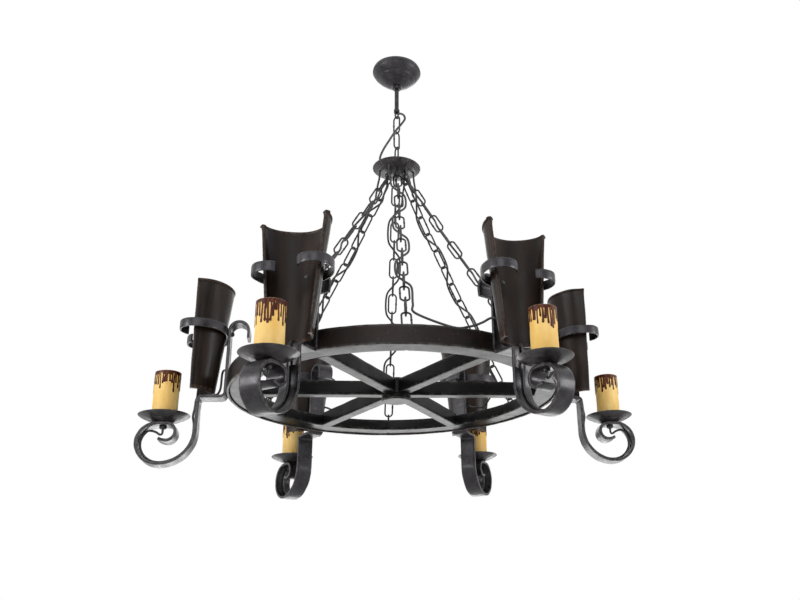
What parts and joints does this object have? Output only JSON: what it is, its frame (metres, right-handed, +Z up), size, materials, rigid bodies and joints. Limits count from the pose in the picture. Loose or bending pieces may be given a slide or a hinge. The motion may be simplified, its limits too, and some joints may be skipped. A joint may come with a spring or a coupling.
{
  "type": "wagon wheel chandelier",
  "caption": "Wagon wheel chandelier: an iron-tyred wheel on chains under a small crown, with scrolled arms, half-cone clay tiles, drip pans and candle-shaped lamps.",
  "frame": {"origin": "centre of the ceiling plane, on the axis of the stem", "axes": "+Z up, +X towards the first arm and along the ceiling bracket"},
  "size_m": [0.8052, 0.7104, 0.7675],
  "materials": {
    "iron": "black forged iron, hammered and lightly worn, semi-gloss",
    "tyre_iron": "black painted iron hoop, semi-matt",
    "wheel_wood": "wood stained and painted near black, satin",
    "zinc": "zinc plated steel",
    "porcelain": "glazed white terminal block",
    "holder": "dark brown moulded resin",
    "clay": null,
    "wax": "amber resin sleeve with dark red-brown glossy drips",
    "flex": "black round flex, satin"
  },
  "bodies": {
    "stem": {"ceiling_bracket": "zinc", "stem_locknuts": "zinc", "ceiling_terminal": "porcelain", "stem_tube": "iron", "stem_loop": "iron", "supply_cable": "flex"},
    "canopy": {"canopy": "iron", "canopy_collar": "iron", "collar_screw": "zinc"},
    "link_upper": {"link_upper": "iron"},
    "link_middle": {"link_middle": "iron"},
    "link_lower": {"link_lower": "iron"},
    "wheel": {"crown_dish": "iron", "crown_eyebolt": "iron", "crown_chain_eyes": "iron", "crown_terminal": "holder", "chain_1": "iron", "chain_2": "iron", "chain_3": "iron", "chain_4": "iron", "chain_5": "iron", "chain_6": "iron", "rim_eyes": "iron", "tyre": "tyre_iron", "felloe": "wheel_wood", "spokes": "wheel_wood", "hub": "wheel_wood", "arm_1": "iron", "arm_2": "iron", "arm_3": "iron", "arm_4": "iron", "arm_5": "iron", "arm_6": "iron", "arm_bolts": "iron", "tile_clasps": "iron", "tile_screws": "zinc", "tile_1": "clay", "tile_2": "clay", "tile_3": "clay", "tile_4": "clay", "tile_5": "clay", "tile_6": "clay", "drip_pan_1": "iron", "drip_pan_2": "iron", "drip_pan_3": "iron", "drip_pan_4": "iron", "drip_pan_5": "iron", "drip_pan_6": "iron", "lampholders": "holder", "lampholder_nipples": "zinc", "lamp_leads": "flex"},
    "candle_1": {"candle_1": "wax"},
    "candle_2": {"candle_2": "wax"},
    "candle_3": {"candle_3": "wax"},
    "candle_4": {"candle_4": "wax"},
    "candle_5": {"candle_5": "wax"},
    "candle_6": {"candle_6": "wax"}
  },
  "joints": [
    {"name": "canopy_slide", "type": "slide", "parent": "stem", "child": "canopy", "axis": [0, 0, -1], "range_m": [0, 0.044]},
    {"name": "link_upper_swing", "type": "hinge", "parent": "stem", "child": "link_upper", "pos_m": [0, 0, -0.11], "axis": [0.7071, 0.7071, 0], "range_deg": [-20, 20], "deforming": ["supply_cable"]},
    {"name": "link_middle_swing", "type": "hinge", "parent": "link_upper", "child": "link_middle", "pos_m": [0, 0, -0.14385], "axis": [0.7071, -0.7071, 0], "range_deg": [-20, 20]},
    {"name": "link_lower_swing", "type": "hinge", "parent": "link_middle", "child": "link_lower", "pos_m": [0, 0, -0.1777], "axis": [0.7071, 0.7071, 0], "range_deg": [-15, 15]},
    {"name": "wheel_turn", "type": "hinge", "parent": "link_lower", "child": "wheel", "pos_m": [0, 0, -0.21155], "axis": [0, 0, 1], "range_deg": [-30, 30]},
    {"name": "candle_1_lift", "type": "slide", "parent": "wheel", "child": "candle_1", "axis": [0, 0, 1], "range_m": [0, 0.08]},
    {"name": "candle_2_lift", "type": "slide", "parent": "wheel", "child": "candle_2", "axis": [0, 0, 1], "range_m": [0, 0.08]},
    {"name": "candle_3_lift", "type": "slide", "parent": "wheel", "child": "candle_3", "axis": [0, 0, 1], "range_m": [0, 0.08]},
    {"name": "candle_4_lift", "type": "slide", "parent": "wheel", "child": "candle_4", "axis": [0, 0, 1], "range_m": [0, 0.08]},
    {"name": "candle_5_lift", "type": "slide", "parent": "wheel", "child": "candle_5", "axis": [0, 0, 1], "range_m": [0, 0.08]},
    {"name": "candle_6_lift", "type": "slide", "parent": "wheel", "child": "candle_6", "axis": [0, 0, 1], "range_m": [0, 0.08]}
  ]
}
